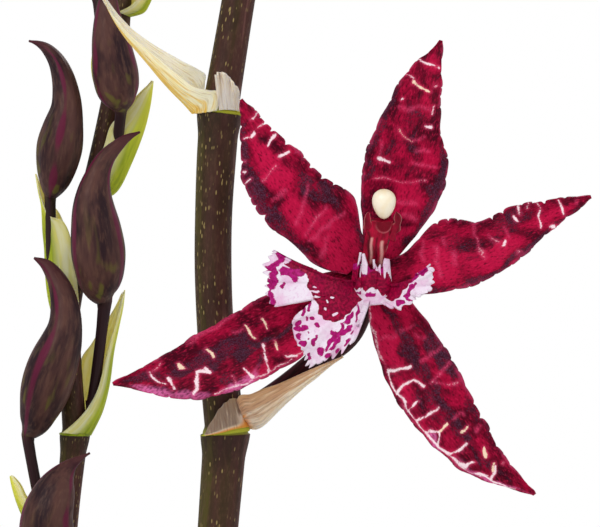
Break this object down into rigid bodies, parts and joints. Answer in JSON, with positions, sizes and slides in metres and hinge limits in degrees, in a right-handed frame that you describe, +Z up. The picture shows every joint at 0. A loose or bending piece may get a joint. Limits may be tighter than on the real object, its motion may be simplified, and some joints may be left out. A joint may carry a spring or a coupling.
{
  "type": "potted massai colmanara orchid",
  "caption": "Potted massai colmanara orchid with strap leaves, a spike of open crimson blooms and a spike of closed buds, in a clay pot of bark.",
  "frame": {"origin": "middle of the pot's flat foot, on the surface that it stands on", "axes": "+Z up along the pot's axis and the spikes, -Y towards the viewer whom the first bloom faces, +X to that viewer's right"},
  "size_m": [0.3399, 0.2452, 0.6261],
  "materials": {
    "clay": "matte",
    "bark": "matte",
    "bulb": "satin",
    "leaf": "satin",
    "stem": "satin",
    "papery_bract": "matte",
    "green_bract": "satin",
    "bud": "satin",
    "tepal": "satin",
    "lip": "satin",
    "column": "satin",
    "cap": "satin"
  },
  "bodies": {
    "root": {"pot": "clay", "bark": "bark", "pseudobulb_front": "bulb", "pseudobulb_middle": "bulb", "pseudobulb_back": "bulb", "leaf_front_left": "leaf", "leaf_front_right": "leaf", "leaf_middle_left": "leaf", "leaf_middle_right": "leaf", "leaf_back_left": "leaf", "leaf_back_right": "leaf", "leaf_top_front": "leaf", "leaf_top_middle": "leaf", "leaf_top_back": "leaf", "spike_front": "stem", "spike_back": "stem", "bract_bloom_1": "papery_bract", "bract_torn": "papery_bract", "bract_bloom_2": "papery_bract", "bract_bloom_3": "papery_bract", "bract_bud_1": "green_bract", "bract_bud_2": "green_bract", "bract_bud_3": "green_bract", "bract_bud_4": "green_bract", "bract_bud_5": "green_bract", "bloom_1_dorsal_sepal": "tepal", "bloom_1_left_petal": "tepal", "bloom_1_right_petal": "tepal", "bloom_1_left_sepal": "tepal", "bloom_1_right_sepal": "tepal", "bloom_1_lip": "lip", "bloom_1_column": "column", "bloom_1_anther_cap": "cap", "bloom_2_tepals": "tepal", "bloom_2_lip": "lip", "bloom_2_column": "column", "bloom_2_anther_cap": "cap", "bloom_3_tepals": "tepal", "bloom_3_lip": "lip", "bloom_3_column": "column", "bloom_3_anther_cap": "cap", "pedicel_1": "stem", "pedicel_2": "stem", "pedicel_3": "stem", "bud_front_1": "bud", "bud_front_2": "bud", "bud_front_3": "bud", "bud_back_1": "bud", "bud_back_2": "bud", "bud_back_3": "bud", "bud_back_4": "bud", "bud_back_5": "bud", "bud_back_6": "bud", "bud_back_7": "bud", "bud_back_8": "bud"}
  },
  "joints": []
}
